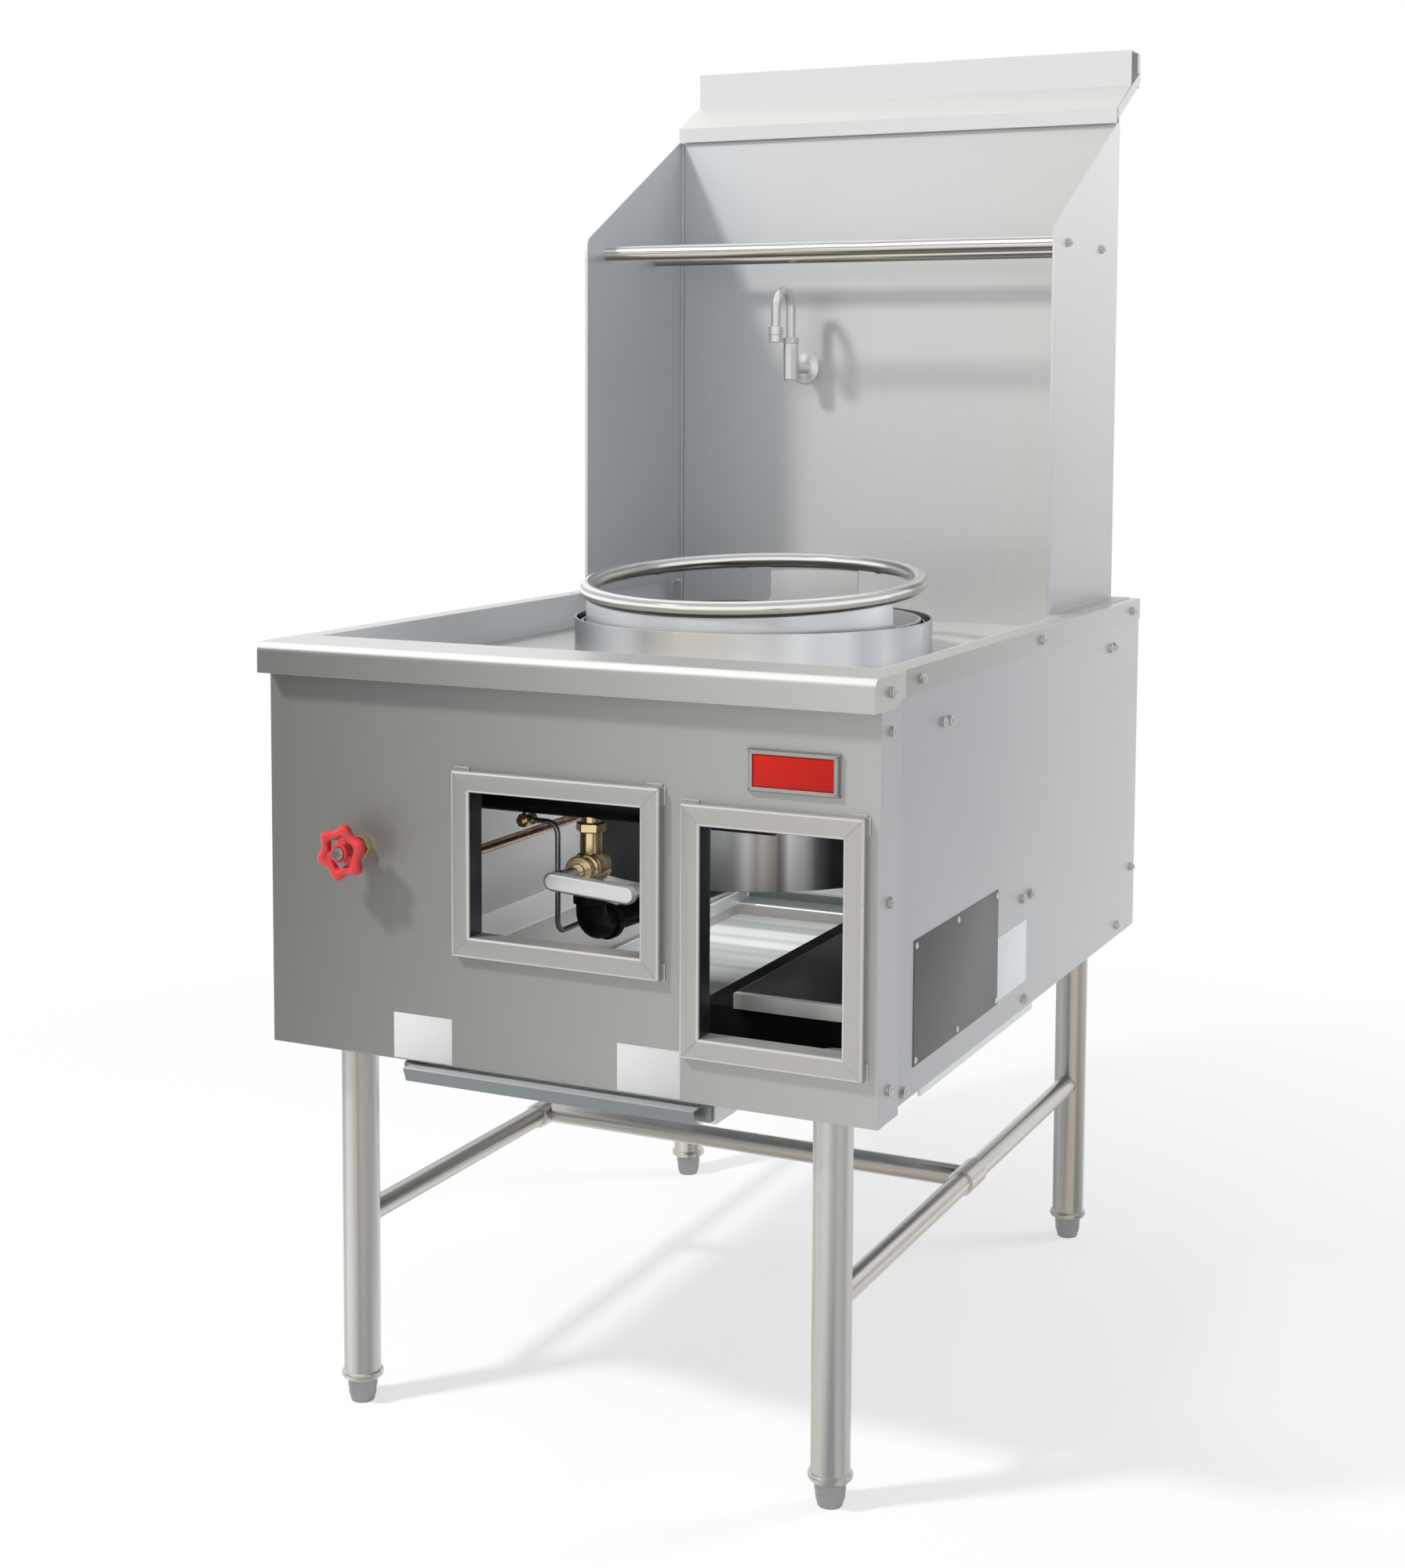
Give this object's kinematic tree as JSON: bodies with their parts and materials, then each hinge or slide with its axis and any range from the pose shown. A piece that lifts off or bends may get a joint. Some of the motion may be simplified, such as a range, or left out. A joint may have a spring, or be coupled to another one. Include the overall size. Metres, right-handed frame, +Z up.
{
  "type": "wok burner",
  "caption": "Free-standing stainless wok range: gas lever in a window, water handwheel, swing tap, lift-off wok ring, drip tray and tubular legs on levelling feet.",
  "frame": {"origin": "middle of the footprint's box, on the floor under the feet", "axes": "+X to the right seen from the cook's side, +Y back to the splash panel, +Z up"},
  "size_m": [0.73, 1.091, 1.591],
  "materials": {
    "panel_steel": "brushed stainless sheet",
    "bright_steel": "bright brushed stainless sheet",
    "tube_steel": "ground stainless tube",
    "ring_steel": "polished stainless bar",
    "frame_steel": "dull rolled steel",
    "cast_iron": "rough casting",
    "black_iron": "black enamelled pipe",
    "black_sheet": "black enamelled sheet",
    "brass": "turned brass",
    "copper": "drawn copper tube",
    "chrome": "polished chrome",
    "red_paint": "red enamelled casting",
    "tube_grey": "satin drawn tube",
    "foot_grey": "dull cast",
    "bolt_steel": "plated"
  },
  "bodies": {
    "counter": {"front_panel": "panel_steel", "left_side_panel": "panel_steel", "right_side_panel": "panel_steel", "rear_panel": "panel_steel", "valve_window_trim": "panel_steel", "tray_window_trim": "panel_steel", "deck_pan": "bright_steel", "deck_collar": "bright_steel", "front_cap": "bright_steel", "left_rim": "bright_steel", "right_rim": "bright_steel", "back_panel": "bright_steel", "left_wing": "bright_steel", "right_wing": "bright_steel", "top_cap": "bright_steel", "side_shelf": "bright_steel", "fire_chamber": "bright_steel", "front_rail": "bright_steel", "rear_rail": "bright_steel", "leg_front_left": "tube_steel", "leg_front_right": "tube_steel", "leg_rear_left": "tube_steel", "leg_rear_right": "tube_steel", "left_stretcher": "tube_steel", "right_stretcher": "tube_steel", "cross_stretcher": "tube_steel", "base_frame": "frame_steel", "tray_guides": "frame_steel", "burner_bracket": "frame_steel", "burner_head": "cast_iron", "gas_manifold": "black_iron", "feed_elbow": "black_iron", "feed_pipe": "black_iron", "shelf_support": "black_sheet", "burner_jets": "brass", "gas_valve_body": "brass", "pilot_valve": "brass", "pilot_burner": "brass", "water_valve_body": "brass", "tap_pipe": "copper", "water_supply_pipe": "copper", "tap_flange": "chrome", "tap_body": "chrome", "pilot_tube": "tube_grey", "panel_bolts": "bolt_steel"},
    "water_wheel": {"handwheel": "red_paint", "wheel_nut": "chrome", "water_valve_stem": "brass"},
    "lever": {"gas_lever": "chrome", "gas_valve_spindle": "chrome"},
    "needle": {"pilot_screw": "brass"},
    "spout": {"swing_spout": "chrome", "aerator": "chrome"},
    "ring": {"wok_ring": "ring_steel", "wok_ring_skirt": "bright_steel"},
    "tray": {"drip_tray": "bright_steel"},
    "foot_fl": {"foot_front_left": "foot_grey"},
    "foot_fr": {"foot_front_right": "foot_grey"},
    "foot_rl": {"foot_rear_left": "foot_grey"},
    "foot_rr": {"foot_rear_right": "foot_grey"}
  },
  "joints": [
    {"name": "water_wheel_turn", "type": "hinge", "parent": "counter", "child": "water_wheel", "pos_m": [-0.24, -0.5405, 0.647], "axis": [0, -1, 0], "range_deg": [0, 1080]},
    {"name": "gas_lever_turn", "type": "hinge", "parent": "counter", "child": "lever", "pos_m": [-0.04, -0.4355, 0.616], "axis": [0, -1, 0], "range_deg": [0, 90]},
    {"name": "pilot_needle_turn", "type": "hinge", "parent": "counter", "child": "needle", "pos_m": [-0.121, -0.3605, 0.6615], "axis": [0, -1, 0], "range_deg": [0, 360]},
    {"name": "spout_swing", "type": "hinge", "parent": "counter", "child": "spout", "pos_m": [-0.125, 0.3955, 1.2], "axis": [0, 0, 1], "range_deg": [-90, 90]},
    {"name": "ring_lift", "type": "slide", "parent": "counter", "child": "ring", "axis": [0, 0, 1], "range_m": [0, 0.15]},
    {"name": "tray_pull", "type": "slide", "parent": "counter", "child": "tray", "axis": [0, -1, 0], "range_m": [0, 0.6]},
    {"name": "foot_fl_screw", "type": "slide", "parent": "counter", "child": "foot_fl", "axis": [0, 0, -1], "range_m": [0, 0.02]},
    {"name": "foot_fr_screw", "type": "slide", "parent": "counter", "child": "foot_fr", "axis": [0, 0, -1], "range_m": [0, 0.02]},
    {"name": "foot_rl_screw", "type": "slide", "parent": "counter", "child": "foot_rl", "axis": [0, 0, -1], "range_m": [0, 0.02]},
    {"name": "foot_rr_screw", "type": "slide", "parent": "counter", "child": "foot_rr", "axis": [0, 0, -1], "range_m": [0, 0.02]}
  ]
}
